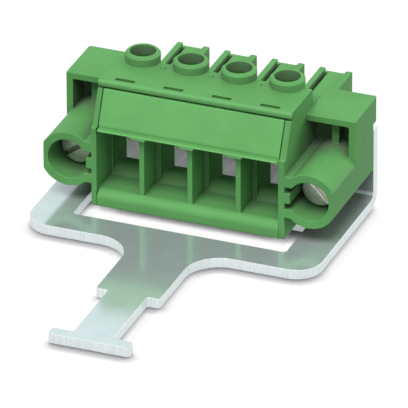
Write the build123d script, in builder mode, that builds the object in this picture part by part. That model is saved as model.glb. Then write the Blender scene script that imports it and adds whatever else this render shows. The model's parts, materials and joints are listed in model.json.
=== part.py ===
import os

from build123d import *

# Pluggable terminal block plug with screw flanges and a shield plate.
# X runs along the row of poles, Y from the wire side to the mating side, Z up.
# The floor under the shield plate is Z = 0 and the origin is the middle of the footprint.

# Poles
pole_count = 4
pitch = 7.62
body_width = pole_count * pitch
body_half = body_width / 2
pole_xs = [(i + 0.5) * pitch - body_half for i in range(pole_count)]
running_clearance = 0.08

# Shield plate, flat part
plate_thickness = 1.6
plate_overhang = 0.09
plate_front_reach = 8.45
plate_corner_radius = 4.0
window_side_margin = 1.61
window_front_reach = 3.6
window_rear_depth = 5.9
window_corner_radius = 0.6
tongue_width = 10.0
tongue_root_radius = 5.4
tongue_length = 15.3
neck_width = 6.1
tee_width = 12.6
tee_depth = 1.9
tee_reach = 38.95
stamp_radius = 0.4

# Shield plate, upright ears
bend_radius = 0.9
ear_height = 13.8
ear_side_margin = 0.46
ear_corner_radius = 1.2
relief_length = 1.4

# Housing, depths from the front face
mating_depth = 31.55
rear_depth = 16.85
hood_depth = 11.4
hood_rake = 0.9
ridge_setback = 3.0
ledge_depth = 0.6
bay_depth = 6.1

# Housing, heights over the plate
base_height = 12.8
seam_height = 18.3
hood_height = 19.3
shoulder_height = 15.4
lintel_height = 11.8
ridge_round = 0.35

# Bays
divider_thickness = 0.75
divider_setback = 0.97
left_wall_thickness = 0.8
right_wall_thickness = 0.95
sill_height = 1.15
sill_round = 1.3
bay_floor_rear = 2.25
funnel_width = 5.7
funnel_roof_drop = 1.2
funnel_bulge = 0.35
entry_width = 3.4
entry_bottom = 4.0
entry_height = 3.4

# Front cover
cover_thickness = 1.3
cover_seam = 0.3
seam_depth = 0.35
cover_side_clearance = 0.1
lip_height = 0.5
lip_flare = 0.3
gutter_height = 0.45
gutter_foot = 0.1
wedge_height = 0.42
wedge_depth = 0.9
wedge_left_top = 1.42
wedge_left_bottom = 0.5
wedge_right_top = 0.67
wedge_right_bottom = 0.35

# Screw collars and marker slots
collar_depth = 11.26
collar_outer_radius = 2.67
collar_bore_radius = 2.0
collar_height = 1.6
collar_round = 0.35
marker_slot_length = 3.06
marker_slot_width = 0.8
marker_slot_depth = 1.0
marker_slot_setback = 4.22
nub_radius = 0.34
nub_height = 0.24
nub_rounding = 0.15
nub_setback = 9.9

# Clamps
sleeve_wall = 0.65
sleeve_floor = 0.8
sleeve_roof = 2.2
sleeve_roof_gap = 1.0
sleeve_length = 4.55
sleeve_side_clearance = 0.15
sleeve_travel = 2.4
screw_radius = 1.5
screw_head_radius = 1.9
screw_head_height = 2.2
slot_width = 0.7
slot_depth = 0.9

# Contacts
bar_width = 3.0
bar_thickness = 1.2
bar_clearance = 0.05
blade_height = 5.0
blade_thickness = 0.6
blade_gap = 1.2
blade_root_length = 2.0
blade_tip_inset = 1.5
throat_gap = 0.7
throat_length = 1.6
spring_thickness = 0.25
spring_length = 7.5
spring_setback = 1.2

# Mating fingers
finger_width = 5.15
finger_bottom = 3.0
finger_height = 11.8
rib_width = 0.9
rib_height = 0.46
groove_width = 0.6
groove_depth = 1.2
groove_end_wall = 0.5
rail_width = 1.35
finger_round = 0.12
cavity_width = 3.2
cavity_margin = 0.3
carrier_wall = 1.0
carrier_clearance = 0.05

# Screw flanges
flange_width = 7.62
flange_height = 16.25
flange_setback = 9.2
flange_wall = 1.0
flange_recess_depth = 4.3
flange_rib_thickness = 1.1
flange_rib_setback = 1.9
hook_depth = 1.5
hook_gap = 0.1
hook_chamfer = 0.5
flange_corner_radius = 0.4
boss_height = 6.9
boss_radius = 4.35
boss_bore_radius = 3.15
boss_bore_depth = 7.0
arm_bottom = 3.6
arm_top = 10.3
arm_slot_bottom = 4.97
arm_slot_top = 8.65
tooth_width = 0.85
tooth_height = 1.65
flange_head_radius = 2.7
flange_head_length = 2.75
flange_seat_gap = 0.05
flange_screw_reach = 24.0
flange_slot_width = 0.75
flange_slot_depth = 1.0
flange_screw_chamfer = 0.4
relief_radius = 1.2
relief_width = 0.5
thread_length = 4.8

# Places that follow from the sizes
y_front = (tee_reach - mating_depth) / 2
z_base = plate_thickness
y_ledge = y_front + ledge_depth
y_ridge = y_front + ridge_setback
y_hood = y_front + hood_depth
y_rear = y_front + rear_depth
y_mate = y_front + mating_depth
y_step = y_front + bay_depth
z_wall = z_base + base_height
z_seam = z_base + seam_height
z_hood = z_base + hood_height
z_cover_top = z_seam - cover_seam
z_shoulder = z_base + shoulder_height
z_lintel = z_base + lintel_height
z_bay_rear = z_base + bay_floor_rear
z_funnel_top = z_lintel - funnel_roof_drop
slope_run = (y_ridge - y_ledge) / (z_seam - z_wall)
y_collar = y_front + collar_depth
z_collar = z_hood + collar_height
z_bar = z_base + entry_bottom + entry_height - 0.6
z_sleeve_floor = z_base + entry_bottom
sleeve_width = entry_width + 2 * sleeve_wall
chamber_width = sleeve_width + 2 * sleeve_side_clearance
chamber_length = sleeve_length + 2 * sleeve_side_clearance
y_chamber = y_collar
y_entry = y_chamber - chamber_length / 2
z_chamber = z_sleeve_floor - sleeve_floor - bar_clearance
z_roof = z_bar + bar_thickness + sleeve_roof_gap
z_head = z_roof + sleeve_roof + sleeve_travel + 0.2
z_cavity_mid = z_bar + bar_thickness / 2
cavity_height = blade_height + 2 * (spring_thickness + cavity_margin)
z_finger = z_base + finger_height
x_flange = body_half + flange_width / 2
plate_width = body_width + 2 * flange_width + 2 * plate_overhang
ear_gap = body_width + 2 * ear_side_margin
window_width = body_width + 2 * window_side_margin
z_boss = z_base + boss_height
z_flange = z_base + flange_height
z_arms = z_base + (arm_bottom + arm_top) / 2
z_arm_slot = z_base + (arm_slot_bottom + arm_slot_top) / 2
y_flange = y_front + flange_setback
y_bend = y_rear - bend_radius


def inner_slope(z):
    return y_ledge + cover_thickness + slope_run * (z - z_wall)


# Wire funnel of one pole: curved cheeks in plan, cut by a curved ramp in side view
with BuildPart() as funnel:
    with BuildSketch(Plane.XY.offset(z_bay_rear)):
        with BuildLine():
            Line((-funnel_width / 2, y_step), (funnel_width / 2, y_step))
            SagittaArc((funnel_width / 2, y_step), (entry_width / 2, y_entry), -funnel_bulge)
            Line((entry_width / 2, y_entry), (-entry_width / 2, y_entry))
            SagittaArc((-entry_width / 2, y_entry), (-funnel_width / 2, y_step), -funnel_bulge)
        make_face()
    extrude(amount=z_lintel - z_bay_rear)
    with BuildSketch(Plane.YZ.offset(-funnel_width / 2)):
        with BuildLine():
            Line((y_step, z_bay_rear), (y_step, z_funnel_top))
            Line((y_step, z_funnel_top), (y_entry, z_sleeve_floor + entry_height))
            Line((y_entry, z_sleeve_floor + entry_height), (y_entry, z_sleeve_floor))
            SagittaArc((y_entry, z_sleeve_floor), (y_step, z_bay_rear), -funnel_bulge)
        make_face()
    extrude(amount=funnel_width, mode=Mode.INTERSECT)

with BuildPart() as housing_body:
    # Side profile of the moulding, drawn once and carried across all poles
    with BuildSketch(Plane.YZ.offset(-body_half)):
        with BuildLine():
            Polyline(
                (y_front, z_base),
                (y_front, z_wall),
                (y_ledge, z_wall),
                (y_ledge + slope_run * (z_cover_top - z_wall), z_cover_top),
                (y_ridge + seam_depth, z_cover_top),
                (y_ridge + seam_depth, z_seam),
                (y_ridge, z_seam),
                (y_ridge, z_hood),
                (y_hood, z_hood),
                (y_hood + hood_rake, z_shoulder),
                (y_rear, z_shoulder),
                (y_rear, z_base),
                close=True,
            )
        make_face()
    extrude(amount=body_width)
    ridge_edges = housing_body.edges().filter_by(Axis.X).group_by(Axis.Z)[-1].sort_by(Axis.Y)
    fillet(ridge_edges[0], radius=ridge_round)

    # Seat of the front cover between the end walls
    with BuildSketch(Plane.YZ.offset(-body_half + left_wall_thickness)):
        with BuildLine():
            Polyline(
                (y_front - ledge_depth, z_lintel),
                (inner_slope(z_lintel), z_lintel),
                (inner_slope(z_seam), z_seam),
                (y_front - ledge_depth, z_seam),
                close=True,
            )
        make_face()
    extrude(amount=body_width - left_wall_thickness - right_wall_thickness, mode=Mode.SUBTRACT)

    # Wire space behind the rounded sill, with a floor that falls to the rear
    y_round = y_front + sill_round
    z_round = z_base + sill_height
    with BuildSketch(Plane.YZ.offset(-body_half + left_wall_thickness)):
        with BuildLine():
            Line((y_front - ledge_depth, z_round), (y_front, z_round))
            CenterArc((y_round, z_round), sill_round, 90, 90)
            Line((y_round, z_round + sill_round), (y_step, z_bay_rear))
            Line((y_step, z_bay_rear), (y_step, z_lintel))
            Line((y_step, z_lintel), (y_front - ledge_depth, z_lintel))
            Line((y_front - ledge_depth, z_lintel), (y_front - ledge_depth, z_round))
        make_face()
    extrude(amount=body_width - left_wall_thickness - right_wall_thickness, mode=Mode.SUBTRACT)

    # Dividers between the bays, set back behind the sill's rounding
    with BuildSketch(Plane.XY.offset(z_base)):
        with Locations(*[(x + pitch / 2, (y_front + divider_setback + y_step) / 2) for x in pole_xs[:-1]]):
            Rectangle(divider_thickness, bay_depth - divider_setback)
    extrude(amount=lintel_height)

    # Funnels from the bays to the clamps
    for x in pole_xs:
        add(funnel.part.moved(Location((x, 0, 0))), mode=Mode.SUBTRACT)

    # Screw collars, with the bores down to the clamp chambers
    with BuildSketch(Plane.XY.offset(z_shoulder)):
        with Locations(*[(x, y_collar) for x in pole_xs]):
            Circle(collar_outer_radius)
    extrude(amount=z_collar - z_shoulder)
    collar_rims = housing_body.edges().filter_by(GeomType.CIRCLE).group_by(Axis.Z)[-1]
    chamfer(collar_rims, length=collar_round)
    with BuildSketch(Plane.XY.offset(z_head)):
        with Locations(*[(x, y_collar) for x in pole_xs]):
            Circle(collar_bore_radius)
    extrude(amount=z_collar - z_head, mode=Mode.SUBTRACT)

    # Clamp chambers, open to the funnels
    with BuildSketch(Plane.XY.offset(z_chamber)):
        with Locations(*[(x, y_chamber) for x in pole_xs]):
            Rectangle(chamber_width, chamber_length)
    extrude(amount=z_head - z_chamber, mode=Mode.SUBTRACT)

    # Pocket for the contact carrier, which closes the chambers from behind
    with BuildSketch(Plane.XZ.offset(-y_rear)):
        with Locations((0, (z_chamber + z_head) / 2)):
            Rectangle(body_width - 2 * carrier_wall, z_head - z_chamber)
    extrude(amount=y_rear - y_entry - chamber_length, mode=Mode.SUBTRACT)

    # Screw flanges at both ends
    for side in (-1, 1):
        x_boss = side * x_flange
        x_outer = side * (body_half + flange_width)
        # Tube for the screw with a flat outer side and two arms to the body
        with BuildSketch(Plane.XZ.offset(-y_rear)):
            with Locations((x_boss, z_boss)):
                Circle(boss_radius)
            with Locations((side * (body_half + flange_width / 4), z_arms)):
                Rectangle(flange_width / 2, arm_top - arm_bottom)
            with Locations((x_boss, z_boss)):
                Rectangle(flange_width, 3 * boss_radius, mode=Mode.INTERSECT)
        extrude(amount=rear_depth)
        # Box over the tube
        with BuildSketch(Plane.XZ.offset(-y_rear)):
            with Locations((x_boss, (z_boss + z_flange) / 2)):
                Rectangle(flange_width, z_flange - z_boss)
        extrude(amount=rear_depth - flange_setback)
        # Hook over the top edge of the ear
        hook_bottom = ear_height + hook_gap
        with BuildSketch(Plane.YZ.offset(x_boss - flange_width / 2)):
            with BuildLine():
                Polyline(
                    (y_rear, hook_bottom),
                    (y_rear, z_flange),
                    (y_rear + hook_depth, z_flange),
                    (y_rear + hook_depth, hook_bottom + hook_chamfer),
                    (y_rear + hook_depth - hook_chamfer, hook_bottom),
                    close=True,
                )
            make_face()
        extrude(amount=flange_width)
        # Recess in the box, open to the front, with a rib over the tube
        with BuildSketch(Plane.XZ.offset(-y_flange - flange_recess_depth)):
            with Locations((x_boss - side * flange_wall / 2, (z_boss + z_flange - flange_wall) / 2)):
                Rectangle(flange_width - flange_wall, z_flange - flange_wall - z_boss)
            with Locations((x_boss, z_boss)):
                Circle(boss_radius, mode=Mode.SUBTRACT)
            with Locations((side * (body_half + flange_width / 4), z_arms)):
                Rectangle(flange_width / 2, arm_top - arm_bottom, mode=Mode.SUBTRACT)
        extrude(amount=flange_recess_depth, mode=Mode.SUBTRACT)
        with BuildSketch(Plane.XZ.offset(-y_flange - flange_recess_depth)):
            with Locations((x_boss, (z_boss + boss_radius + z_flange - flange_wall) / 2)):
                Rectangle(flange_rib_thickness, z_flange - flange_wall - z_boss - boss_radius + 0.4)
        extrude(amount=flange_recess_depth - flange_rib_setback)
        # Bore for the screw head, open to the body through a slot
        with BuildSketch(Plane.XZ.offset(-y_front - boss_bore_depth)):
            with Locations((x_boss, z_boss)):
                Circle(boss_bore_radius)
            with Locations((side * (body_half + flange_width / 4), z_arm_slot)):
                Rectangle(flange_width / 2, arm_slot_top - arm_slot_bottom)
        extrude(amount=boss_bore_depth, mode=Mode.SUBTRACT)
        # Tooth in the slot
        with BuildSketch(Plane.XZ.offset(-y_front - boss_bore_depth)):
            with Locations((side * (body_half + tooth_width / 2), z_arm_slot)):
                Rectangle(tooth_width, tooth_height)
        extrude(amount=boss_bore_depth)
        # Hole for the shank
        with BuildSketch(Plane.XZ.offset(-y_rear)):
            with Locations((x_boss, z_boss)):
                Circle(screw_radius + running_clearance)
        extrude(amount=rear_depth - boss_bore_depth, mode=Mode.SUBTRACT)

    # Rounded upright corners at the rear of the flanges
    hook_corners = housing_body.edges().filter_by(Axis.Z).filter_by_position(
        Axis.Y, y_rear + hook_depth - 0.01, y_rear + hook_depth + 0.01
    )
    fillet(hook_corners, radius=flange_corner_radius)

    # Marker slots and locating nubs on the hood
    with BuildSketch(Plane.XY.offset(z_hood)):
        with Locations(*[(x, y_front + marker_slot_setback) for x in pole_xs]):
            Rectangle(marker_slot_length, marker_slot_width)
    extrude(amount=-marker_slot_depth, mode=Mode.SUBTRACT)
    with BuildSketch(Plane.XY.offset(z_hood)):
        with Locations(*[(x + pitch / 2, y_front + nub_setback) for x in pole_xs[:-1]]):
            Circle(nub_radius)
    extrude(amount=nub_height)
    nub_tops = housing_body.edges().filter_by(GeomType.CIRCLE).filter_by_position(
        Axis.Z, z_hood + nub_height - 0.01, z_hood + nub_height + 0.01
    )
    fillet(nub_tops, radius=nub_rounding)

housing_body.part.label = "housing_body"

with BuildPart() as contact_carrier:
    # Block in the rear pocket of the housing
    with BuildSketch(Plane.XZ.offset(-y_rear)):
        with Locations((0, (z_chamber + z_head) / 2)):
            Rectangle(
                body_width - 2 * carrier_wall - 2 * carrier_clearance,
                z_head - z_chamber - 2 * carrier_clearance,
            )
    extrude(amount=y_rear - y_entry - chamber_length - carrier_clearance)

    # Mating fingers: left rib, raised field and right rail on each
    with BuildSketch(Plane.XZ.offset(-y_mate)):
        for x in pole_xs:
            left = x - finger_width / 2
            right = x + finger_width / 2
            z_low = z_base + finger_bottom
            z_rib = z_finger + rib_height
            with BuildLine():
                Polyline(
                    (left, z_low),
                    (left, z_rib),
                    (left + rib_width, z_rib),
                    (left + rib_width, z_finger),
                    (right - rail_width, z_finger),
                    (right - rail_width + rib_height, z_rib),
                    (right, z_rib),
                    (right, z_low),
                    close=True,
                )
            make_face()
    extrude(amount=y_mate - y_rear)
    finger_tops = contact_carrier.edges().filter_by(Axis.Y).filter_by_position(
        Axis.Z, z_finger + rib_height - 0.01, z_finger + rib_height + 0.01
    )
    fillet(finger_tops, radius=finger_round)

    # Grooves beside the ribs, ending at a thin wall before the mating face
    with BuildSketch(Plane.XY.offset(z_finger)):
        y_groove_end = y_mate - groove_end_wall
        x_groove = rib_width + groove_width / 2 - finger_width / 2
        with Locations(*[(x + x_groove, (y_rear + y_groove_end) / 2) for x in pole_xs]):
            Rectangle(groove_width, y_groove_end - y_rear)
    extrude(amount=-groove_depth, mode=Mode.SUBTRACT)

    # Cavities of the fingers, open at the mating face, and the bar slots in front of them
    with BuildSketch(Plane.XZ.offset(-y_mate)):
        with Locations(*[(x, z_cavity_mid) for x in pole_xs]):
            Rectangle(cavity_width, cavity_height)
    extrude(amount=y_mate - y_rear, mode=Mode.SUBTRACT)
    with BuildSketch(Plane.XZ.offset(-y_rear)):
        with Locations(*[(x, z_cavity_mid) for x in pole_xs]):
            Rectangle(bar_width + 2 * bar_clearance, bar_thickness + 2 * bar_clearance)
    extrude(amount=y_rear - y_chamber, mode=Mode.SUBTRACT)

contact_carrier.part.label = "contact_carrier"

with BuildPart() as front_cover:
    cover_left = -body_half + left_wall_thickness + cover_side_clearance
    cover_right = body_half - right_wall_thickness - cover_side_clearance
    z_lip = z_wall - lip_height
    with BuildSketch(Plane.YZ.offset(cover_left)):
        with BuildLine():
            Polyline(
                (y_front, z_lip),
                (y_front, z_wall - lip_flare),
                (y_ledge + slope_run * gutter_height, z_wall - gutter_foot),
                (y_ledge + slope_run * gutter_height, z_wall + gutter_height),
                (y_ledge + slope_run * (z_cover_top - z_wall), z_cover_top),
                (inner_slope(z_cover_top), z_cover_top),
                (inner_slope(z_lip), z_lip),
                close=True,
            )
        make_face()
    extrude(amount=cover_right - cover_left)
    # Wedges under the lip, over the dividers
    with BuildSketch(Plane.XZ.offset(-y_front - wedge_depth)):
        for i in range(1, pole_count):
            div_left = i * pitch - body_half - divider_thickness / 2
            div_right = div_left + divider_thickness
            with BuildLine():
                Polyline(
                    (div_left - wedge_left_bottom, z_lip - wedge_height),
                    (div_left - wedge_left_top, z_lip),
                    (div_right + wedge_right_top, z_lip),
                    (div_right + wedge_right_bottom, z_lip - wedge_height),
                    close=True,
                )
            make_face()
    extrude(amount=wedge_depth)

front_cover.part.label = "front_cover"

with BuildPart() as shield_plate:
    y_plate_front = y_front - plate_front_reach
    y_tongue = y_plate_front - tongue_length
    y_tee = y_front - tee_reach
    # Flat blank with tongue, neck and T end
    with BuildSketch():
        with BuildLine():
            Polyline(
                (-plate_width / 2, y_bend),
                (-plate_width / 2, y_plate_front),
                (-tongue_width / 2, y_plate_front),
                (-tongue_width / 2, y_tongue),
                (-neck_width / 2, y_tongue),
                (-neck_width / 2, y_tee + tee_depth),
                (-tee_width / 2, y_tee + tee_depth),
                (-tee_width / 2, y_tee),
                (tee_width / 2, y_tee),
                (tee_width / 2, y_tee + tee_depth),
                (neck_width / 2, y_tee + tee_depth),
                (neck_width / 2, y_tongue),
                (tongue_width / 2, y_tongue),
                (tongue_width / 2, y_plate_front),
                (plate_width / 2, y_plate_front),
                (plate_width / 2, y_bend),
                close=True,
            )
        make_face()
    extrude(amount=plate_thickness)
    front_row = shield_plate.edges().filter_by(Axis.Z).filter_by_position(
        Axis.Y, y_plate_front - 0.01, y_plate_front + 0.01
    )
    front_row = front_row.sort_by(Axis.X)
    roots = front_row[1:3]
    corners = [front_row[0], front_row[3]]
    fillet(corners, radius=plate_corner_radius)
    fillet(roots, radius=tongue_root_radius)
    tongue_corners = shield_plate.edges().filter_by(Axis.Z).filter_by_position(
        Axis.Y, y_tee - 0.01, y_tongue + 0.01
    )
    fillet(tongue_corners, radius=stamp_radius)

    # Window under the front of the housing
    with BuildSketch():
        with Locations((0, y_front + (window_rear_depth - window_front_reach) / 2)):
            RectangleRounded(window_width, window_rear_depth + window_front_reach, window_corner_radius)
    extrude(amount=plate_thickness, mode=Mode.SUBTRACT)

    # Upright ears with their bends
    outer_bend = bend_radius + plate_thickness
    y_ear = y_rear + plate_thickness
    for side in (-1, 1):
        ear_start = -plate_width / 2 if side < 0 else ear_gap / 2
        with BuildSketch(Plane.YZ.offset(ear_start)):
            with BuildLine():
                Line((y_bend, 0), (y_bend, plate_thickness))
                CenterArc((y_bend, outer_bend), bend_radius, -90, 90)
                Line((y_rear, outer_bend), (y_rear, ear_height))
                Line((y_rear, ear_height), (y_ear, ear_height))
                Line((y_ear, ear_height), (y_ear, outer_bend))
                CenterArc((y_bend, outer_bend), outer_bend, -90, 90)
            make_face()
        extrude(amount=(plate_width - ear_gap) / 2)
    ear_corners = shield_plate.edges().filter_by(Axis.Y).group_by(Axis.Z)[-1]
    fillet(ear_corners, radius=ear_corner_radius)

    # Relief between the ears
    with BuildSketch():
        with Locations((0, y_bend)):
            Rectangle(ear_gap, 2 * relief_length)
    extrude(amount=plate_thickness, mode=Mode.SUBTRACT)

    # Holes for the flange screws
    with BuildSketch(Plane.XZ.offset(-y_ear)):
        with Locations((-x_flange, z_boss), (x_flange, z_boss)):
            Circle(screw_radius + running_clearance)
    extrude(amount=plate_thickness, mode=Mode.SUBTRACT)

shield_plate.part.label = "shield_plate"

os.makedirs("parts", exist_ok=True)
export_step(housing_body.part, "parts/housing_body.step")
export_step(front_cover.part, "parts/front_cover.step")
export_step(contact_carrier.part, "parts/contact_carrier.step")
export_step(shield_plate.part, "parts/shield_plate.step")

for number, x in enumerate(pole_xs, start=1):
    # Clamp sleeve: cage with a floor and a thick threaded roof
    with BuildPart() as clamp_sleeve:
        with BuildSketch(Plane.XZ.offset(-y_chamber - sleeve_length / 2)):
            with Locations((x, (z_sleeve_floor - sleeve_floor + z_roof + sleeve_roof) / 2)):
                Rectangle(sleeve_width, z_roof + sleeve_roof - z_sleeve_floor + sleeve_floor)
            with Locations((x, (z_sleeve_floor + z_roof) / 2)):
                Rectangle(entry_width, z_roof - z_sleeve_floor, mode=Mode.SUBTRACT)
        extrude(amount=sleeve_length)
        with BuildSketch(Plane.XY.offset(z_roof)):
            with Locations((x, y_collar)):
                Circle(screw_radius + running_clearance)
        extrude(amount=sleeve_roof, mode=Mode.SUBTRACT)
    clamp_sleeve.part.label = f"clamp_sleeve_{number}"
    export_step(clamp_sleeve.part, f"parts/clamp_sleeve_{number}.step")

    # Clamp screw: its tip bears on the contact bar
    with BuildPart() as clamp_screw:
        z_tip = z_bar + bar_thickness + bar_clearance
        with BuildSketch(Plane.XY.offset(z_tip)):
            with Locations((x, y_collar)):
                Circle(screw_radius)
        extrude(amount=z_head - z_tip)
        with BuildSketch(Plane.XY.offset(z_head)):
            with Locations((x, y_collar)):
                Circle(screw_head_radius)
        extrude(amount=screw_head_height)
        with BuildSketch(Plane.XY.offset(z_head + screw_head_height)):
            with Locations((x, y_collar)):
                Rectangle(2 * screw_head_radius, slot_width, rotation=20 * number)
        extrude(amount=-slot_depth, mode=Mode.SUBTRACT)
    clamp_screw.part.label = f"clamp_screw_{number}"
    export_step(clamp_screw.part, f"parts/clamp_screw_{number}.step")

    # Contact: bar under the screw and a fork of two blades for the header pin
    with BuildPart() as contact:
        y_root = y_rear + cavity_margin
        y_tip = y_mate - blade_tip_inset
        y_bar = y_entry + sleeve_side_clearance
        fork_half = blade_gap / 2 + blade_thickness
        with BuildSketch(Plane.XY.offset(z_bar)):
            with Locations((x, (y_bar + y_root) / 2)):
                Rectangle(bar_width, y_root - y_bar)
        extrude(amount=bar_thickness)
        with BuildSketch(Plane.XY.offset(z_cavity_mid - blade_height / 2)):
            with BuildLine():
                Polyline(
                    (x - fork_half, y_root),
                    (x + fork_half, y_root),
                    (x + fork_half, y_tip),
                    (x + blade_gap / 2 + blade_thickness / 2, y_tip),
                    (x + throat_gap / 2, y_tip - throat_length / 2),
                    (x + blade_gap / 2, y_tip - throat_length),
                    (x + blade_gap / 2, y_root + blade_root_length),
                    (x - blade_gap / 2, y_root + blade_root_length),
                    (x - blade_gap / 2, y_tip - throat_length),
                    (x - throat_gap / 2, y_tip - throat_length / 2),
                    (x - blade_gap / 2 - blade_thickness / 2, y_tip),
                    (x - fork_half, y_tip),
                    close=True,
                )
            make_face()
        extrude(amount=blade_height)
    contact.part.label = f"contact_{number}"
    export_step(contact.part, f"parts/contact_{number}.step")

    # Contact spring: steel clip over the fork
    with BuildPart() as contact_spring:
        with BuildSketch(Plane.XZ.offset(-y_tip + spring_setback)):
            with Locations((x, z_cavity_mid + spring_thickness / 2)):
                Rectangle(2 * (fork_half + spring_thickness), blade_height + spring_thickness)
            with Locations((x, z_cavity_mid)):
                Rectangle(2 * fork_half, blade_height, mode=Mode.SUBTRACT)
        extrude(amount=spring_length)
    contact_spring.part.label = f"contact_spring_{number}"
    export_step(contact_spring.part, f"parts/contact_spring_{number}.step")

for side, name, turn in ((-1, "left", -37), (1, "right", 47)):
    # Flange screw: slotted head in the boss, shank through the boss and the ear
    with BuildPart() as flange_screw:
        y_seat = y_front + boss_bore_depth - flange_seat_gap
        with BuildSketch(Plane.XZ.offset(-y_seat)):
            with Locations((side * x_flange, z_boss)):
                Circle(flange_head_radius)
        extrude(amount=flange_head_length)
        with BuildSketch(Plane.XZ.offset(-y_front - flange_screw_reach)):
            with Locations((side * x_flange, z_boss)):
                Circle(screw_radius)
        extrude(amount=flange_screw_reach - boss_bore_depth + flange_seat_gap)
        # Relief groove in front of the free thread
        y_thread = y_front + flange_screw_reach - flange_screw_chamfer - thread_length
        with BuildSketch(Plane.XZ.offset(-y_thread)):
            with Locations((side * x_flange, z_boss)):
                Circle(screw_radius)
                Circle(relief_radius, mode=Mode.SUBTRACT)
        extrude(amount=relief_width, mode=Mode.SUBTRACT)
        end_edge = flange_screw.edges().filter_by(GeomType.CIRCLE).sort_by(Axis.Y)[-1]
        chamfer(end_edge, length=flange_screw_chamfer)
        with BuildSketch(Plane.XZ.offset(-y_seat + flange_head_length)):
            with Locations((side * x_flange, z_boss)):
                Rectangle(2 * flange_head_radius, flange_slot_width, rotation=turn)
        extrude(amount=-flange_slot_depth, mode=Mode.SUBTRACT)
    flange_screw.part.label = f"flange_screw_{name}"
    export_step(flange_screw.part, f"parts/flange_screw_{name}.step")
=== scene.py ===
import json
import math

import bmesh
import bpy
from mathutils import Matrix, Vector

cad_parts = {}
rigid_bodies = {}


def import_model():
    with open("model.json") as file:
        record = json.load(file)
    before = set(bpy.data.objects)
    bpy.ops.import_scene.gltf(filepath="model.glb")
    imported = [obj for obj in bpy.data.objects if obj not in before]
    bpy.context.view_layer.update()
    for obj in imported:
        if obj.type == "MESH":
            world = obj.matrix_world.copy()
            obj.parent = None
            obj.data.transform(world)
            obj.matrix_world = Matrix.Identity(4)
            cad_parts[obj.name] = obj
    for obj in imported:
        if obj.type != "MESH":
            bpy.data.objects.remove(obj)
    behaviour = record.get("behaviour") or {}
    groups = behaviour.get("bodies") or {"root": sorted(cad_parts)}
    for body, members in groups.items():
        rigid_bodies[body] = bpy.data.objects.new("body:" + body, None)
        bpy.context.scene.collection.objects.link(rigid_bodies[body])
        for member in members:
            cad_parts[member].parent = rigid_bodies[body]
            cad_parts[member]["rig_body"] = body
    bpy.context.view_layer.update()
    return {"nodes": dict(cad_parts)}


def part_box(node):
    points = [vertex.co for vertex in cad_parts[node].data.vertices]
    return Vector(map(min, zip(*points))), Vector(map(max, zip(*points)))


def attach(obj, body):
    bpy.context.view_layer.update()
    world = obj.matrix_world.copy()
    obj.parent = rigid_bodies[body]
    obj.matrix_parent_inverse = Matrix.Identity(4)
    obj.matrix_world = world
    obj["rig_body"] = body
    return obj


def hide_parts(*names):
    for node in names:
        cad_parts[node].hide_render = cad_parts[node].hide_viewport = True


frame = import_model()
nodes = frame["nodes"]

# Where the housing has its sill, its cover with the lip and ledge, and its hood, in metres
SILL_LEFT = -0.01444
SILL_RIGHT = 0.01429
SILL_TOP = 0.00405
SILL_BACK = 0.0050
COVER_LEFT = -0.01439
COVER_RIGHT = 0.01424
COVER_FOOT = 0.0135
COVER_BACK = 0.0080
LIP = 0.01402
LEDGE_TOP = 0.0143
LEDGE_BACK = 0.0046
HOOD_SEAM = 0.0199
HOOD_FRONT = 0.0067
HOOD_TOP = 0.0209
HOOD_SHADE_TOP = HOOD_TOP - 0.00005
CREST_BACK = HOOD_FRONT + 0.00035
CREST_LEVEL = HOOD_TOP - 0.00028
HOUSING_FRONT = 0.0037

# Widths of the lines of painted shade and painted highlight that the green material draws at those
# places, and the share of a line's width that is drawn in full
SILL_GAP = 0.00011
COVER_GAP = 0.00017
HOOD_GAP = 0.00022
LEDGE_WIDTH = 0.00022
LIP_WIDTH = 0.00012
CREST_WIDTH = 0.00042
LINE_CORE = 0.3

# How strongly the green material darkens the gaps with painted shade and lightens the edges with
# painted highlights
SEAM_DARK = 0.85
LEDGE_DARK = 0.45
EDGE_LIGHT = 0.8
CREST_LIGHT = 0.5
LIP_LIGHT = 0.4
SILL_LIGHT = 0.23

# Height of the bend, above which the plate is upright; a face is a cut edge where its normal
# has less than this share along the sheet's own normal
BEND_BOTTOM = 0.0022
BEND_TOP = 0.0030
CUT_BELOW = 0.5

# Softened edges: their radii, and the lean of the normal over which an edge shows
SHEET_EDGE = 0.00010
SCREW_EDGE = 0.00010
SMALL_EDGE = 0.00006
EDGE_LEAN = (0.01, 0.22)

# Ambient occlusion: rays per point, and how far they reach on each surface
PART_RAYS = 8
FLOOR_RAYS = 24
MOULD_REACH = 0.006
SHEET_REACH = 0.0050
SCREW_REACH = 0.0009
SHADOW_REACH = 0.0020
CONTACT_REACH = 0.0010
BENEATH_REACH = 0.0080

# Meshes: lengths in metres and angles in degrees for welding points, joining flat faces,
# smooth shading, the plate's bevel and the screws' sharp edges
WELD_WITHIN = 2e-6
FLAT_WITHIN = 0.3
SMOOTH_BELOW = 26.0
BEVEL_ABOVE = 40.0
SCREW_SHARP_ABOVE = 34.0
ON_AXIS = 1e-7
TURNED_SIDES = 48
ROUNDING_STEPS = 3

# M3 screws: pitch and radii of the thread, radii of the turned blank, spacing of the turning
# marks, and the saw's length in head radii
THREAD_PITCH = 0.0005
THREAD_ROOT = 0.0012
THREAD_CREST = 0.00148
TIP_RADIUS = 0.0011
BLANK_RADIUS = 0.00125
UNDERCUT_RADIUS = 0.0012
SHANK_RADIUS = 0.0015
TURNING_MARK = 0.00011
SAW_LENGTH = 3.0

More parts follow.
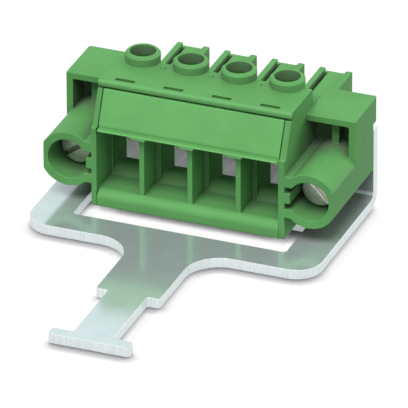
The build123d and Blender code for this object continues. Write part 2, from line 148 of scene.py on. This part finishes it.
# Flange screws: radius and distance from the tip at each step, the thread's start and end from
# the tip, height and rounding of the head, width and depth of the slot
FLANGE_STEPS = (
    (BLANK_RADIUS, 0.0003),
    (BLANK_RADIUS, 0.0052),
    (UNDERCUT_RADIUS, 0.0053),
    (UNDERCUT_RADIUS, 0.0056),
    (SHANK_RADIUS, 0.0057),
)
FLANGE_THREAD = (0.0004, 0.0051)
FLANGE_HEAD = 0.00275
FLANGE_ROUNDING = 0.0003
FLANGE_SLOT = (0.00075, 0.0010)

# Clamp screws: chamfer at the tip, the thread's start from the tip and its gap to the head,
# height and rounding of the head, width, depth and turn of the slot
CLAMP_CHAMFER = 0.0002
CLAMP_THREAD_START = 0.0003
CLAMP_THREAD_GAP = 0.0001
CLAMP_HEAD = 0.0022
CLAMP_ROUNDING = 0.00025
CLAMP_SLOT = (0.0007, 0.0009)
CLAMP_TURN = 20.0

# Floor: its depth below the part, half its width, the share of light that it reflects and the
# brightness that it shows
FLOOR_DROP = 0.00003
FLOOR_HALF = 3.0
FLOOR_SHARE = 0.12
FLOOR_WHITE = 1.06

# Camera: width of its sensor, and of the photograph in pixels
SENSOR_MM = 36.0
PHOTO_PIXELS = 408.0

WHITE = (1.0, 1.0, 1.0)


# ---------------------------------------------------------------- shader expressions
class Signal:
    """A value on its way through a shader; arithmetic on it adds Math nodes."""

    def __init__(self, finish, socket):
        self.finish = finish
        self.socket = socket

    def _math(self, operation, first, second=None):
        values = {0: first} if second is None else {0: first, 1: second}
        return self.finish.node("ShaderNodeMath", {"operation": operation}, values)[0]

    def __add__(self, other):
        return self._math("ADD", self, other)

    def __radd__(self, other):
        return self._math("ADD", other, self)

    def __sub__(self, other):
        return self._math("SUBTRACT", self, other)

    def __rsub__(self, other):
        return self._math("SUBTRACT", other, self)

    def __mul__(self, other):
        return self._math("MULTIPLY", self, other)

    def __rmul__(self, other):
        return self._math("MULTIPLY", other, self)

    def __truediv__(self, other):
        return self._math("DIVIDE", self, other)

    def __pow__(self, other):
        return self._math("POWER", self, other)

    def __abs__(self):
        return self._math("ABSOLUTE", self)

    def above(self, level):
        return self._math("GREATER_THAN", self, level)

    def below(self, level):
        return self._math("LESS_THAN", self, level)

    def at_most(self, level):
        return self._math("MINIMUM", self, level)

    def sine(self):
        return self._math("SINE", self)

    def ease(self, low, high, to_low=0.0, to_high=1.0):
        """A smooth step from to_low at low to to_high at high."""
        settings = {"interpolation_type": "SMOOTHSTEP"}
        span = {"From Min": low, "From Max": high, "To Min": to_low, "To Max": to_high}
        return self.finish.node("ShaderNodeMapRange", settings, {"Value": self, **span})[0]


class Made:
    """A node that was added, whose outputs are read by name or number."""

    def __init__(self, finish, node):
        self.finish = finish
        self.node = node

    def __getitem__(self, key):
        return Signal(self.finish, self.node.outputs[key])


def add_node(tree, kind, settings=None, values=None):
    """Adds a node with its settings; a value that comes out of another node becomes a link."""
    node = tree.nodes.new(kind)
    for key, value in (settings or {}).items():
        setattr(node, key, value)
    for key, value in (values or {}).items():
        socket = node.inputs[key]
        if isinstance(value, Signal):
            value = value.socket
        if isinstance(value, bpy.types.NodeSocket):
            tree.links.new(value, socket)
        elif socket.type == "RGBA":
            socket.default_value = (*value, 1.0)
        else:
            socket.default_value = value
    return node


def scaled(colour, *shares):
    """A colour times one share, or each channel times its own."""
    if len(shares) == 1:
        shares = shares * 3
    return tuple(min(1.0, c * share) for c, share in zip(colour, shares))


class Finish:
    """The surface of a material or a world, built up node by node."""

    def __init__(self, owner):
        owner.use_nodes = True
        self.owner = owner
        self.tree = owner.node_tree
        self.tree.nodes.clear()

    def node(self, kind, settings=None, values=None):
        return Made(self, add_node(self.tree, kind, settings, values))

    def place(self):
        return self.node("ShaderNodeTexCoord")["Object"]

    def axes(self, vector):
        """The X, Y and Z of a vector."""
        split = self.node("ShaderNodeSeparateXYZ", None, {0: vector})
        return split["X"], split["Y"], split["Z"]

    def stretched(self, place, scale):
        settings = {"operation": "MULTIPLY"}
        return self.node("ShaderNodeVectorMath", settings, {0: place, 1: scale})[0]

    def noise(self, place, scale, detail=2.0, roughness=0.5):
        values = {"Vector": place, "Scale": scale, "Detail": detail, "Roughness": roughness}
        return self.node("ShaderNodeTexNoise", None, values)["Fac"]

    def mix(self, share, first, second):
        values = {0: share, 6: first, 7: second}
        return self.node("ShaderNodeMix", {"data_type": "RGBA"}, values)[2]

    def rounded(self, radius):
        """The normal with every edge softened, and how far it leans from the flat face."""
        soft = self.node("ShaderNodeBevel", {"samples": 6}, {"Radius": radius})["Normal"]
        flat = self.node("ShaderNodeNewGeometry")["Normal"]
        product = {"operation": "DOT_PRODUCT"}
        lean = self.node("ShaderNodeVectorMath", product, {0: soft, 1: flat})["Value"]
        return soft, (1.0 - lean).ease(*EDGE_LEAN)

    def free_share(self, reach, samples, own_piece=False, **normal):
        """The share of the space above a point that is free within reach."""
        settings = {"samples": samples, "only_local": own_piece}
        values = {"Distance": reach, **normal}
        return self.node("ShaderNodeAmbientOcclusion", settings, values)["AO"]

    def line(self, coordinate, level, width):
        """1 where a coordinate is at a level, 0 farther away than the width."""
        return 1.0 - abs(coordinate - level).ease(width * LINE_CORE, width)

    def lines(self, coordinate, first, second, width):
        """1 where a coordinate is at either of two levels."""
        return self.line(coordinate, first, width) + self.line(coordinate, second, width)

    def seams(self, place):
        """1 along the fine gaps: at the sill's ends, beside the cover and under the hood."""
        across, along, height = self.axes(place)
        sill = height.below(SILL_TOP) * along.below(SILL_BACK)
        sill_ends = sill * self.lines(across, SILL_LEFT, SILL_RIGHT, SILL_GAP)
        cover = height.above(COVER_FOOT) * height.below(HOOD_SEAM) * along.below(COVER_BACK)
        cover_ends = cover * self.lines(across, COVER_LEFT, COVER_RIGHT, COVER_GAP)
        under_hood = along.below(COVER_BACK) * self.line(height, HOOD_SEAM, HOOD_GAP)
        return (sill_ends + cover_ends + under_hood).ease(0.0, 1.0)

    def sill(self, place):
        """1 on the sill between the end walls."""
        across, along, height = self.axes(place)
        between = across.above(SILL_LEFT) * across.below(SILL_RIGHT)
        return between * along.below(SILL_BACK) * height.below(SILL_TOP)

    def crest(self, place):
        """1 along the rounded front edge of the hood."""
        _, along, height = self.axes(place)
        return along.below(CREST_BACK) * self.line(height, CREST_LEVEL, CREST_WIDTH)

    def cover_foot(self, place, level, width):
        """1 at a level of the ledge along the cover's foot."""
        across, along, height = self.axes(place)
        between = across.above(COVER_LEFT) * across.below(COVER_RIGHT)
        return between * along.below(LEDGE_BACK) * self.line(height, level, width)

    def bump(self, height, strength, distance, normal):
        values = {"Height": height, "Strength": strength, "Distance": distance}
        return self.node("ShaderNodeBump", None, {**values, "Normal": normal})["Normal"]

    def surface(self, **values):
        named = {key.replace("_", " "): value for key, value in values.items()}
        shader = self.node("ShaderNodeBsdfPrincipled", None, named)["BSDF"]
        self.node("ShaderNodeOutputMaterial", None, {"Surface": shader})
        return self.owner


# ---------------------------------------------------------------- finishes
def moulded_green(name, colour, radius):
    """Satin green polyamide with the fine grain of a spark-eroded mould, with painted shade in
    recesses and gaps and painted highlights on edges, the hood's crest, the cover's lip and the
    sill."""
    f = Finish(bpy.data.materials.new(name))
    place = f.place()
    grain = f.noise(place, 9000.0, detail=3.0, roughness=0.6)
    flow = f.noise(place, 160.0)
    soft, edge = f.rounded(radius)
    # Colour of the painted highlights
    pale = tuple(min(1.0, c * 1.45 + 0.05) for c in colour)
    # Colour of the painted shade in recesses
    shade = scaled(colour, 0.92, 0.45, 0.92)
    # Colour of the painted shade in the gaps, on the ledge and in the hood's marker slots
    painted_gap_shade = scaled(colour, 0.32, 0.42, 0.28)

    body = f.mix(flow.ease(0.35, 0.65), scaled(colour, 0.93), colour)
    height = f.axes(place)[2]
    in_hood = height.above(HOOD_SEAM) * height.below(HOOD_SHADE_TOP)
    # Painted shade: darker where little space round a point is free, with the gap shade in the
    # hood's marker slots
    openness = f.free_share(MOULD_REACH, PART_RAYS, own_piece=True).ease(0.12, 0.82)
    sunk = f.mix(openness, f.mix(in_hood, shade, painted_gap_shade), body)

    # Painted shade along the gaps at the sill's ends, beside the cover and under the hood, and on
    # the ledge
    seam = f.seams(place)
    ledge = f.cover_foot(place, LEDGE_TOP, LEDGE_WIDTH)
    lined = f.mix(seam * SEAM_DARK + ledge * LEDGE_DARK, sunk, painted_gap_shade)
    # Painted highlights: on the softened edges, along the hood's crest and the cover's lip, and on
    # the sill
    bright = edge * EDGE_LIGHT * (1.0 - seam) * (1.0 - ledge)
    bright = bright + f.crest(place) * CREST_LIGHT
    bright = bright + f.cover_foot(place, LIP, LIP_WIDTH) * LIP_LIGHT
    bright = bright + f.sill(place) * SILL_LIGHT
    painted_highlights = f.mix(bright.ease(0.0, 1.0), lined, pale)

    rough = 0.48 + 0.10 * grain - 0.05 * edge
    relief = f.bump(grain, strength=0.10, distance=0.00003, normal=soft)
    return f.surface(
        Base_Color=painted_highlights, Roughness=rough, Normal=relief, IOR=1.45, Specular_IOR_Level=0.20
    )


def plated_sheet(name):
    """Bright plated sheet: rolled faces are smooth, cut edges show the marks of the punch."""
    f = Finish(bpy.data.materials.new(name))
    place = f.place()
    _, facing_y, facing_z = f.axes(f.node("ShaderNodeTexCoord")["Normal"])
    upright = f.axes(place)[2].ease(BEND_BOTTOM, BEND_TOP)
    flat_edge = abs(facing_z).below(CUT_BELOW) * (1.0 - upright)
    ear_edge = abs(facing_y).below(CUT_BELOW) * upright
    cut = flat_edge + ear_edge

    down_marks = f.noise(f.stretched(place, (1.0, 1.0, 0.03)), 5200.0, detail=3.0, roughness=0.7)
    side_marks = f.noise(f.stretched(place, (1.0, 0.03, 1.0)), 5200.0, detail=3.0, roughness=0.7)
    marks = down_marks * (1.0 - upright) + side_marks * upright
    mottle = f.noise(place, 420.0, detail=4.0, roughness=0.6)
    rolling = f.noise(f.stretched(place, (1.0, 0.02, 1.0)), 2600.0, detail=3.0, roughness=0.6)
    soft, edge = f.rounded(SHEET_EDGE)

    face = f.mix(mottle.ease(0.3, 0.7), (0.66, 0.765, 0.765), (0.70, 0.805, 0.805))
    # Painted shade: the face turns a dark neutral grey where other parts stand close over it
    openness = f.free_share(SHEET_REACH, PART_RAYS).ease(0.15, 0.80)
    shaded = f.mix(openness, (0.48, 0.41, 0.47), face)
    sheared = f.mix(marks.ease(0.3, 0.7), (0.79, 0.87, 0.865), (0.93, 1.0, 0.99))
    colour = f.mix(cut, shaded, sheared)
    # Painted highlight along the softened edges
    rim = f.mix(edge * 0.8, colour, (0.93, 0.97, 0.96))

    rough = (0.10 + 0.06 * mottle) * (1.0 - cut) + (0.34 + 0.12 * marks) * cut
    height = rolling * 0.25 * (1.0 - cut) + marks * cut
    relief = f.bump(height, strength=0.16, distance=0.00003, normal=soft)
    return f.surface(Base_Color=rim, Metallic=0.54, Roughness=rough, Normal=relief)


def bright_metal(name, dark, light, roughness, metallic=1.0):
    """Plated small parts: a slightly cloudy metal with a painted highlight on its soft edges."""
    f = Finish(bpy.data.materials.new(name))
    place = f.place()
    cloud = f.noise(place, 1500.0, detail=4.0, roughness=0.6)
    fine = f.noise(place, 12000.0, roughness=0.6)
    soft, edge = f.rounded(SMALL_EDGE)
    body = f.mix(cloud.ease(0.3, 0.7), dark, light)
    # Painted highlight along the softened edges
    rim = f.mix(edge * 0.5, body, scaled(light, 1.3))
    rough = roughness + 0.06 * (cloud - 0.5)
    relief = f.bump(fine, strength=0.05, distance=0.00001, normal=soft)
    return f.surface(Base_Color=rim, Metallic=metallic, Roughness=rough, Normal=relief)


def turned_steel(name, dark, light, roughness):
    """Turned screws: rings of the turning tool on the head, from the distance to the axis."""
    f = Finish(bpy.data.materials.new(name))
    place = f.place()
    distance = f.node("ShaderNodeAttribute", {"attribute_name": "axis_distance"})["Fac"]
    rings = (distance * (2.0 * math.pi / TURNING_MARK)).sine() * 0.5 + 0.5
    cloud = f.noise(place, 1800.0, detail=4.0, roughness=0.6)
    soft, edge = f.rounded(SCREW_EDGE)
    body = f.mix(cloud.ease(0.3, 0.7), dark, light)
    # Painted shade: darker in the slot and other hollows of the screw itself
    openness = f.free_share(SCREW_REACH, PART_RAYS, own_piece=True).ease(0.45, 0.85)
    sunk = f.mix(openness, scaled(dark, 0.85), body)
    # Painted highlight along the softened edges, the slot's edges among them
    rim = f.mix(edge * 0.9, sunk, scaled(light, 1.6))
    rough = roughness + 0.10 * (cloud - 0.5)
    height = rings * 0.6 + cloud * 0.4
    relief = f.bump(height, strength=0.14, distance=0.00002, normal=soft)
    return f.surface(Base_Color=rim, Metallic=0.55, Roughness=rough, Normal=relief)


green = moulded_green("green_polyamide", (0.137, 0.418, 0.124), radius=0.00018)
# The same green, lighter: it paints extra light onto the sloping front cover
cover_green_painted_light = moulded_green("green_polyamide_cover_painted_light", (0.180, 0.528, 0.164), radius=0.00015)
sheet = plated_sheet("plated_sheet_steel")
screw_steel = turned_steel(
    "turned_screw_steel", dark=(0.48, 0.48, 0.44), light=(0.63, 0.63, 0.58), roughness=0.38
)
# The sleeves' pale plating, made near-white and not metallic: their bright reflections are painted
# into the colour
sleeve_steel = bright_metal(
    "clamp_sleeve_steel",
    dark=(0.93, 0.90, 0.96),
    light=(0.98, 0.96, 1.0),
    roughness=0.45,
    metallic=0.0,
)
tinned = bright_metal(
    "tinned_contact",
    dark=(0.70, 0.69, 0.66),
    light=(0.75, 0.74, 0.71),
    roughness=0.34,
    metallic=0.85,
)
spring = bright_metal(
    "contact_spring_steel", dark=(0.48, 0.48, 0.48), light=(0.60, 0.60, 0.60), roughness=0.24
)


# ---------------------------------------------------------------- mesh helpers
def linked_object(name, data):
    made = bpy.data.objects.new(name, data)
    bpy.context.scene.collection.objects.link(made)
    return made


def mesh_object(name, shape):
    """An object made from a bmesh, which is freed."""
    mesh = bpy.data.meshes.new(name)
    shape.to_mesh(mesh)
    shape.free()
    return linked_object(name, mesh)


def work_in_modifiers(piece):
    """Replaces the piece's mesh by the one that its modifiers make."""
    bpy.context.view_layer.update()
    graph = bpy.context.evaluated_depsgraph_get()
    mesh = bpy.data.meshes.new_from_object(piece.evaluated_get(graph), depsgraph=graph)
    piece.modifiers.clear()
    old = piece.data
    piece.data = mesh
    bpy.data.meshes.remove(old)


def shading_normals(shape):
    """A normal for each corner: the mean of the faces at its vertex that it is smooth with."""
    nearest = math.cos(math.radians(SMOOTH_BELOW))
    normals = []
    for face in shape.faces:
        for loop in face.loops:
            total = Vector((0.0, 0.0, 0.0))
            for other in loop.vert.link_faces:
                if other.normal.dot(face.normal) > nearest:
                    total += other.normal * (other.calc_area() + 1e-12)
            normals.append(total.normalized())
    return normals


def bevel_sharp_edges(shape, size):
    limit = math.radians(BEVEL_ABOVE)
    sharp = [e for e in shape.edges if e.is_manifold and e.calc_face_angle(0.0) > limit]
    bmesh.ops.bevel(
        shape,
        geom=sharp,
        offset=size,
        segments=2,
        profile=0.5,
        affect="EDGES",
        clamp_overlap=True,
    )


def smoothed_copy(node, name, finish, bevel=0.0):
    """The node's own surface as one closed skin, smooth over curves and sharp at edges."""
    shape = bmesh.new()
    shape.from_mesh(nodes[node].data)
    bmesh.ops.remove_doubles(shape, verts=shape.verts, dist=WELD_WITHIN)
    bmesh.ops.dissolve_limit(
        shape,
        angle_limit=math.radians(FLAT_WITHIN),
        verts=shape.verts,
        edges=shape.edges,
        delimit={"NORMAL"},
    )
    if bevel:
        bevel_sharp_edges(shape, bevel)
    shape.normal_update()
    normals = shading_normals(shape)
    piece = mesh_object(name, shape)
    for face in piece.data.polygons:
        face.use_smooth = True
    piece.data.normals_split_custom_set(normals)
    piece.data.materials.append(finish)
    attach(piece, nodes[node]["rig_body"])
    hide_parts(node)


# ---------------------------------------------------------------- threaded screws
def thread_tree():
    """Geometry Nodes: one helical ridge of triangular section, wound round the Z axis."""
    tree = bpy.data.node_groups.new("screw_thread", "GeometryNodeTree")
    face = tree.interface
    face.new_socket("Geometry", in_out="INPUT", socket_type="NodeSocketGeometry")
    inputs = {}
    for name, kind, value in (
        ("Root Radius", "NodeSocketFloat", THREAD_ROOT),
        ("Crest Radius", "NodeSocketFloat", THREAD_CREST),
        ("Pitch", "NodeSocketFloat", THREAD_PITCH),
        ("Turns", "NodeSocketFloat", 10.0),
        ("Steps per Turn", "NodeSocketInt", 32),
        ("Finish", "NodeSocketMaterial", None),
    ):
        socket = face.new_socket(name, in_out="INPUT", socket_type=kind)
        if value is not None:
            socket.default_value = value
        inputs[name] = socket.identifier
    face.new_socket("Geometry", in_out="OUTPUT", socket_type="NodeSocketGeometry")

    def add(kind, values=None, **settings):
        return add_node(tree, kind, settings, values).outputs

    def calculated(operation, *terms):
        return add("ShaderNodeMath", dict(enumerate(terms)), operation=operation)[0]

    group = add("NodeGroupInput")
    root = group["Root Radius"]
    height = calculated("MULTIPLY", group["Pitch"], group["Turns"])
    # A triangle's centre lies a third of its height above its base, its corners two thirds away
    depth = calculated("SUBTRACT", group["Crest Radius"], root)
    middle = calculated("MULTIPLY_ADD", depth, 1.0 / 3.0, root)
    section_radius = calculated("MULTIPLY", depth, 2.0 / 3.0)
    spiral = add(
        "GeometryNodeCurveSpiral",
        {
            "Resolution": group["Steps per Turn"],
            "Rotations": group["Turns"],
            "Start Radius": middle,
            "End Radius": middle,
            "Height": height,
            "Reverse": False,
        },
    )
    upright = add("GeometryNodeSetCurveNormal", {"Curve": spiral["Curve"]}, mode="Z_UP")
    triangle = {"Resolution": 3, "Radius": section_radius}
    section = add("GeometryNodeCurvePrimitiveCircle", triangle, mode="RADIUS")
    sweep = {
        "Curve": upright["Curve"],
        "Profile Curve": section["Curve"],
        "Fill Caps": True,
    }
    swept = add("GeometryNodeCurveToMesh", sweep)
    joined = tree.nodes.new("GeometryNodeJoinGeometry")
    tree.links.new(swept["Mesh"], joined.inputs[0])
    tree.links.new(group["Geometry"], joined.inputs[0])
    realized = add("GeometryNodeRealizeInstances", {"Geometry": joined.outputs[0]})
    coat = {"Geometry": realized[0], "Material": group["Finish"]}
    finished = add("GeometryNodeSetMaterial", coat)
    add("NodeGroupOutput", {"Geometry": finished[0]})
    return tree, inputs


thread, thread_inputs = thread_tree()


def turned_shape(profile):
    """A shape turned from (radius, height) points round the Z axis, closed at both ends."""
    shape = bmesh.new()
    rows = []
    for radius, height in profile:
        if radius < ON_AXIS:
            rows.append([shape.verts.new((0.0, 0.0, height))])
            continue
        row = []
        for i in range(TURNED_SIDES):
            angle = 2.0 * math.pi * i / TURNED_SIDES
            point = (radius * math.cos(angle), radius * math.sin(angle), height)
            row.append(shape.verts.new(point))
        rows.append(row)
    for lower, upper in zip(rows, rows[1:]):
        for i in range(TURNED_SIDES):
            j = (i + 1) % TURNED_SIDES
            if len(lower) == 1:
                shape.faces.new((lower[0], upper[i], upper[j]))
            elif len(upper) == 1:
                shape.faces.new((lower[i], lower[j], upper[0]))
            else:
                shape.faces.new((lower[i], lower[j], upper[j], upper[i]))
    bmesh.ops.recalc_face_normals(shape, faces=shape.faces)
    return shape


def saw_slot(piece, length, width, depth, turn):
    """Cuts a slot into the top of the piece, which is at height 0."""
    blade = bmesh.new()
    bmesh.ops.create_cube(blade, size=1.0)
    stretch = Matrix.Diagonal((length, width, depth * 2.0, 1.0))
    turned = Matrix.Rotation(turn, 4, "Z") @ stretch
    bmesh.ops.transform(blade, matrix=turned, verts=blade.verts)
    saw = mesh_object("saw", blade)
    cut = piece.modifiers.new("slot", "BOOLEAN")
    cut.operation = "DIFFERENCE"
    cut.solver = "EXACT"
    cut.object = saw
    work_in_modifiers(piece)
    bpy.data.objects.remove(saw)


def wind_thread(piece, low, high):
    """Winds the thread round the Z axis between two heights."""
    wound = piece.modifiers.new("thread", "NODES")
    wound.node_group = thread
    wound[thread_inputs["Turns"]] = (high - low) / THREAD_PITCH
    wound[thread_inputs["Finish"]] = screw_steel
    shift = Matrix.Translation((0.0, 0.0, -low))
    piece.data.transform(shift)
    work_in_modifiers(piece)
    piece.data.transform(shift.inverted())


def slotted_screw(name, node, body, profile, slot, thread_span, aim):
    """A slotted screw: turned blank, sawn slot, rolled thread. Its axis is Z until it is aimed."""
    piece = mesh_object(name, turned_shape(profile))
    saw_slot(piece, *slot)
    wind_thread(piece, *thread_span)
    around = piece.data.attributes.new("axis_distance", "FLOAT", "POINT")
    distances = [math.hypot(v.co.x, v.co.y) for v in piece.data.vertices]
    around.data.foreach_set("value", distances)
    for face in piece.data.polygons:
        face.use_smooth = True
    piece.data.set_sharp_from_angle(angle=math.radians(SCREW_SHARP_ABOVE))
    piece.data.materials.clear()
    piece.data.materials.append(screw_steel)
    piece.data.transform(aim)
    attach(piece, body)
    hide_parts(node)


def rounded_top(radius, size):
    """Points from the side of a head, over its rounding, to the middle of its top at height 0."""
    points = []
    for i in range(ROUNDING_STEPS + 1):
        angle = 0.5 * math.pi * i / ROUNDING_STEPS
        reach = radius - size + size * math.cos(angle)
        points.append((reach, -size * (1.0 - math.sin(angle))))
    return points + [(0.0, 0.0)]


# Flange screws: axis along Y, head towards the wires
for side, turn in (("left", math.radians(37.0)), ("right", math.radians(-47.0))):
    node = f"flange_screw_{side}"
    low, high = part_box(node)
    low, high = Vector(low), Vector(high)
    centre_x = (low.x + high.x) / 2.0
    centre_z = (low.z + high.z) / 2.0
    head_radius = (high.z - low.z) / 2.0
    # Built with the head at the top; the aim turns Z to -Y
    tip = low.y - high.y
    profile = [(0.0, tip), (TIP_RADIUS, tip)]
    profile += [(radius, tip + distance) for radius, distance in FLANGE_STEPS]
    profile += [(SHANK_RADIUS, -FLANGE_HEAD), (head_radius, -FLANGE_HEAD)]
    profile += rounded_top(head_radius, FLANGE_ROUNDING)
    slot = (head_radius * SAW_LENGTH, *FLANGE_SLOT, turn)
    quarter = Matrix.Rotation(math.radians(90.0), 4, "X")
    aim = Matrix.Translation((centre_x, low.y, centre_z)) @ quarter
    span = [tip + distance for distance in FLANGE_THREAD]
    slotted_screw(f"flange_screw_{side}_turned", node, node, profile, slot, span, aim)

# Clamp screws: axis along Z
for k in range(1, 5):
    node = f"clamp_screw_{k}"
    low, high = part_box(node)
    low, high = Vector(low), Vector(high)
    top_centre = Vector(((low.x + high.x) / 2.0, (low.y + high.y) / 2.0, high.z))
    head_radius = (high.x - low.x) / 2.0
    tip = low.z - high.z
    profile = [(0.0, tip), (TIP_RADIUS, tip), (BLANK_RADIUS, tip + CLAMP_CHAMFER)]
    profile += [(BLANK_RADIUS, -CLAMP_HEAD), (head_radius, -CLAMP_HEAD)]
    profile += rounded_top(head_radius, CLAMP_ROUNDING)
    slot = (head_radius * SAW_LENGTH, *CLAMP_SLOT, math.radians(CLAMP_TURN * k))
    aim = Matrix.Translation(top_centre)
    span = (tip + CLAMP_THREAD_START, -CLAMP_HEAD - CLAMP_THREAD_GAP)
    slotted_screw(f"clamp_screw_{k}_turned", node, node, profile, slot, span, aim)

# ---------------------------------------------------------------- moulded and punched pieces
smoothed_copy("housing_body", "housing_body_moulded", green)
smoothed_copy("contact_carrier", "contact_carrier_moulded", green)
smoothed_copy("front_cover", "front_cover_moulded", cover_green_painted_light)
smoothed_copy("shield_plate", "shield_plate_punched", sheet, bevel=0.00009)


def node_finish(name):
    """The finish of a node of the frame, by what it is."""
    if name.startswith("clamp_sleeve"):
        return sleeve_steel
    if name.startswith("contact_spring"):
        return spring
    if name.startswith("contact_") and name != "contact_carrier":
        return tinned
    if name.startswith(("clamp_screw", "flange_screw")):
        return screw_steel
    return sheet if name == "shield_plate" else green


for name, node in nodes.items():
    node.data.materials.clear()
    node.data.materials.append(node_finish(name))


# ---------------------------------------------------------------- floor, light and camera
def studio_floor():
    """A pale floor that shows white and keeps the soft shadow of what stands on it."""
    f = Finish(bpy.data.materials.new("studio_floor"))
    rays = f.node("ShaderNodeLightPath")
    # Contact shadow: darker where the part is behind or to the left, as under the key light.
    # The small share added keeps the division defined where nothing is free overhead
    behind = f.node("ShaderNodeCombineXYZ", None, {"X": -0.25, "Y": 0.66, "Z": 0.71})["Vector"]
    overhead = f.free_share(SHADOW_REACH, FLOOR_RAYS)
    falling = f.free_share(SHADOW_REACH, FLOOR_RAYS, Normal=behind) / (overhead + 0.001)
    beside = f.free_share(CONTACT_REACH, FLOOR_RAYS)
    contact = ((falling ** 2.2) * (beside ** 1.2)).at_most(1.0)
    beneath = f.free_share(BENEATH_REACH, FLOOR_RAYS).ease(0.065, 0.17, to_low=0.08)
    shadow = contact * beneath

    tint = f.mix(shadow, (0.84, 0.83, 0.88), WHITE)
    grey = {"Color": scaled(WHITE, FLOOR_SHARE)}
    matt = f.node("ShaderNodeBsdfDiffuse", None, grey)["BSDF"]
    seen = rays["Is Camera Ray"] * shadow + rays["Is Glossy Ray"]
    white = {"Color": tint, "Strength": seen * (FLOOR_WHITE - FLOOR_SHARE)}
    lift = f.node("ShaderNodeEmission", None, white)["Emission"]
    both = f.node("ShaderNodeAddShader", None, {0: matt, 1: lift})[0]
    f.node("ShaderNodeOutputMaterial", None, {"Surface": both})

    sides = ((-1, -1), (1, -1), (1, 1), (-1, 1))
    corners = [(x * FLOOR_HALF, y * FLOOR_HALF, -FLOOR_DROP) for x, y in sides]
    mesh = bpy.data.meshes.new("studio_floor")
    mesh.from_pydata(corners, [], [(0, 1, 2, 3)])
    mesh.materials.append(f.owner)
    floor = linked_object("studio_floor", mesh)


def studio_world(level):
    """Even light of the given level, seen as white by the camera and in reflections."""
    world = bpy.data.worlds.new("studio")
    bpy.context.scene.world = world
    f = Finish(world)
    rays = f.node("ShaderNodeLightPath")
    seen = rays["Is Camera Ray"] + rays["Is Glossy Ray"]
    strength = level + (1.0 - level) * seen
    colour = f.mix(rays["Is Glossy Ray"], WHITE, (0.92, 0.98, 1.0))
    light = {"Color": colour, "Strength": strength}
    background = f.node("ShaderNodeBackground", None, light)["Background"]
    f.node("ShaderNodeOutputWorld", None, {"Surface": background})


def softbox(name, place, size, power, aim=(0.0, 0.0, 0.0)):
    """A rectangular light; place and aim are points, size is its width and height."""
    light = bpy.data.lights.new(name, "AREA")
    light.shape = "RECTANGLE"
    light.size, light.size_y = size
    light.energy = power
    lamp = linked_object(name, light)
    lamp.location = place
    heading = Vector(aim) - Vector(place)
    lamp.rotation_euler = heading.to_track_quat("-Z", "Y").to_euler()
    return lamp


def group_of(name, objects):
    collection = bpy.data.collections.new(name)
    for member in objects:
        collection.objects.link(member)
    return collection


studio_floor()
studio_world(level=0.32)
softbox("key_softbox", (0.06, -0.955, 1.642), size=(1.1, 0.9), power=27.2)
softbox("camera_side_softbox", (0.62, -1.56, 0.92), size=(0.9, 0.7), power=0.5)
softbox("rear_side_softbox", (1.20, 0.93, 0.52), size=(0.9, 0.7), power=6.4)

# A low light into the wire bays that falls on the clamp sleeves alone
bay_light = softbox("bay_softbox", (0.42, -1.74, 0.52), size=(0.6, 0.5), power=14.0)
sleeves = group_of("lit_sleeves", [nodes[f"clamp_sleeve_{k}"] for k in range(1, 5)])
bay_light.light_linking.receiver_collection = sleeves

# A light from the upper right that falls on the right flange screw alone, unshaded by the housing
slot_light = softbox(
    "slot_softbox", (1.25, -0.28, 1.30), size=(0.4, 0.4), power=30.0, aim=(0.019, 0.0, 0.0085)
)
lit_screw = group_of("lit_slot", [bpy.data.objects["flange_screw_right_turned"]])
slot_light.light_linking.receiver_collection = lit_screw
slot_light.light_linking.blocker_collection = sleeves


def studio_camera(azimuth, elevation, roll, distance, shift_right, shift_up, focal_px):
    """A camera at the photograph's angle, aimed past the middle of the housing's front."""
    back = Vector(
        (
            math.sin(azimuth) * math.cos(elevation),
            -math.cos(azimuth) * math.cos(elevation),
            math.sin(elevation),
        )
    )
    level = Vector((math.cos(azimuth), math.sin(azimuth), 0.0))
    upward = back.cross(level)
    right = level * math.cos(roll) + upward * math.sin(roll)
    up = upward * math.cos(roll) - level * math.sin(roll)
    aim = Vector((0.0, HOUSING_FRONT, 0.0))
    eye = right * shift_right + up * shift_up + back * distance + aim
    lens = bpy.data.cameras.new("camera")
    lens.sensor_width = SENSOR_MM
    lens.lens = focal_px * SENSOR_MM / PHOTO_PIXELS
    lens.clip_start = 0.05
    lens.clip_end = 20.0
    camera = linked_object("camera", lens)
    axes = Matrix((right, up, back)).transposed().to_4x4()
    camera.matrix_world = Matrix.Translation(eye) @ axes
    bpy.context.scene.camera = camera


studio_camera(
    azimuth=math.radians(21.535),
    elevation=math.radians(27.941),
    roll=math.radians(-0.212),
    distance=1.3733,
    shift_right=0.002417,
    shift_up=0.004043,
    focal_px=9316.7,
)
bpy.context.scene.view_settings.view_transform = "Standard"

bpy.context.view_layer.update()
